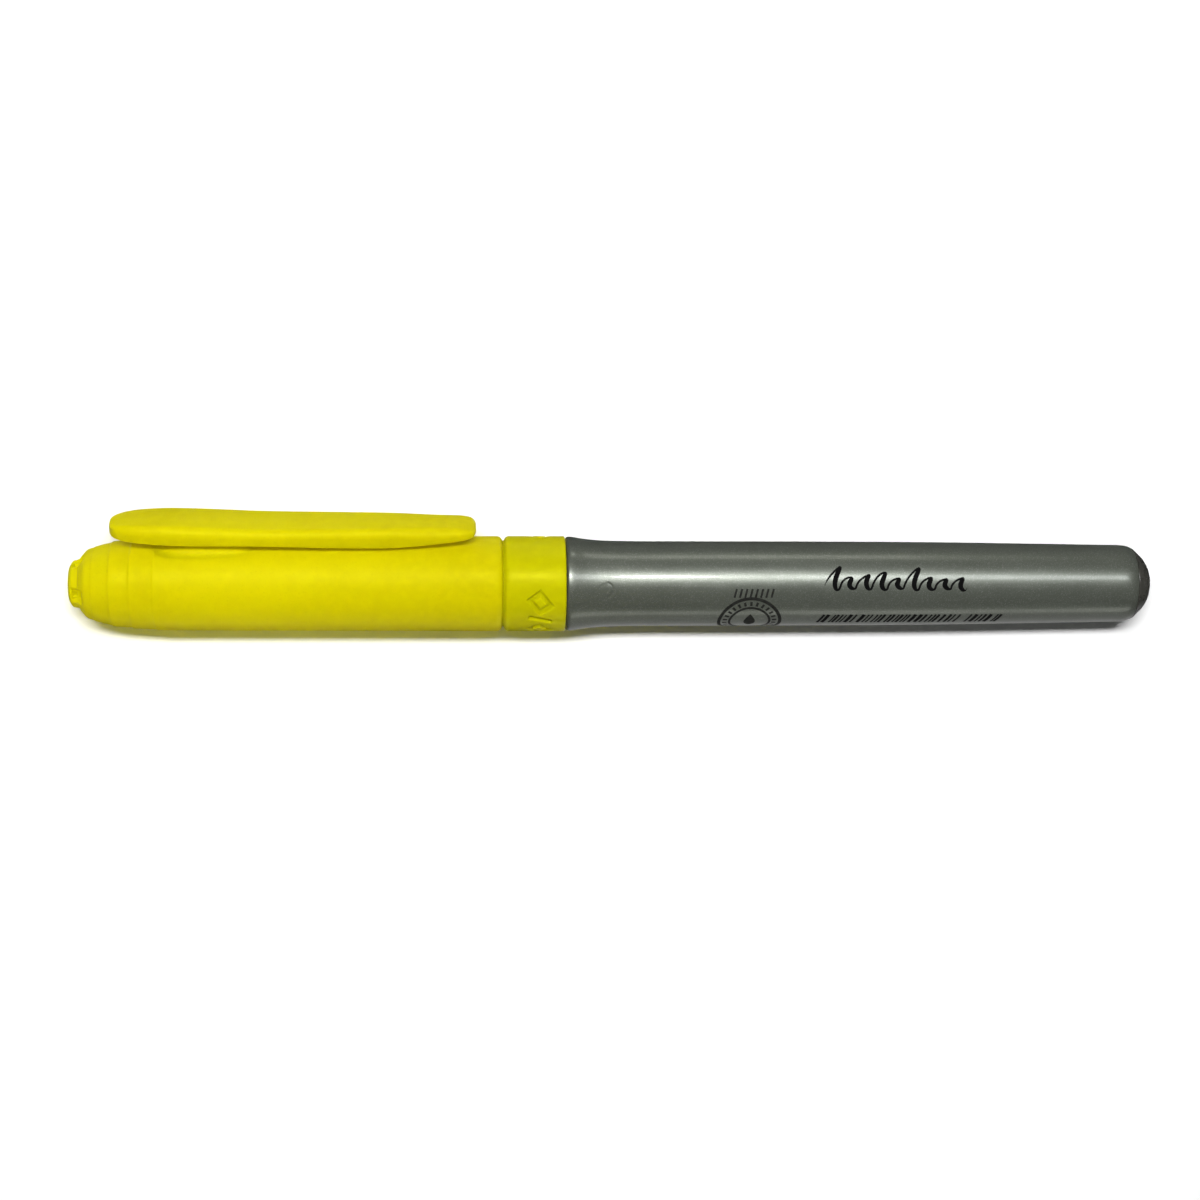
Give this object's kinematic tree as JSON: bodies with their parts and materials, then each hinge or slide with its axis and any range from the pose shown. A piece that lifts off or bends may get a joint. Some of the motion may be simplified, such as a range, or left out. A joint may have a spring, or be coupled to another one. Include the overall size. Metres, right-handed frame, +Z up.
{
  "type": "capped pocket highlighter",
  "caption": "Capped marker pen with a yellow vented clip cap, yellow collar, ribbed grip, chisel nib and a pearl-grey tapered barrel with a domed rear plug.",
  "frame": {"origin": "under the middle of the bounding box, on the surface that the pen lies on", "axes": "+X along the pen from the cap's closed end to the rear plug, +Z up, +Y towards the clip, which leans 30 degrees above the surface"},
  "size_m": [0.14, 0.0158, 0.0134],
  "materials": {
    "yellow_plastic": "satin moulded yellow polypropylene with a fine spark texture",
    "collar_plastic": "smoother satin yellow polypropylene",
    "seal_plastic": "translucent natural polyethylene",
    "grip_rubber": "soft ribbed yellow elastomer",
    "felt": "felt stained with fluorescent yellow ink",
    "ink_fibre": "bundled polyester fibre soaked with yellow ink",
    "film": "thin clear film",
    "pearl_grey": "pearl silver-grey moulded plastic, glossy with a fine metallic fleck",
    "plug_grey": "darker smoky grey plastic, glossy"
  },
  "bodies": {
    "pen": {"front_section": "collar_plastic", "grip_sleeve": "grip_rubber", "chisel_nib": "felt", "ink_reservoir": "ink_fibre", "reservoir_wrap": "film", "barrel": "pearl_grey", "end_plug": "plug_grey"},
    "seal": {"inner_cap": "seal_plastic"},
    "cap": {"cap_shell": "yellow_plastic"},
    "clip": {"pocket_clip": "yellow_plastic"}
  },
  "joints": [
    {"name": "cap_pull", "type": "slide", "parent": "pen", "child": "seal", "axis": [-1, 0, 0], "range_m": [0, 0.055]},
    {"name": "cap_twist", "type": "hinge", "parent": "seal", "child": "cap", "pos_m": [-0.04, -0.00172, 0.00614], "axis": [1, 0, 0], "continuous": true},
    {"name": "clip_flex", "type": "hinge", "parent": "cap", "child": "clip", "pos_m": [-0.052, 0.00413, 0.00951], "axis": [0, -0.5, 0.866], "range_deg": [0, 4], "stiffness_Nm_per_rad": 0.5}
  ]
}
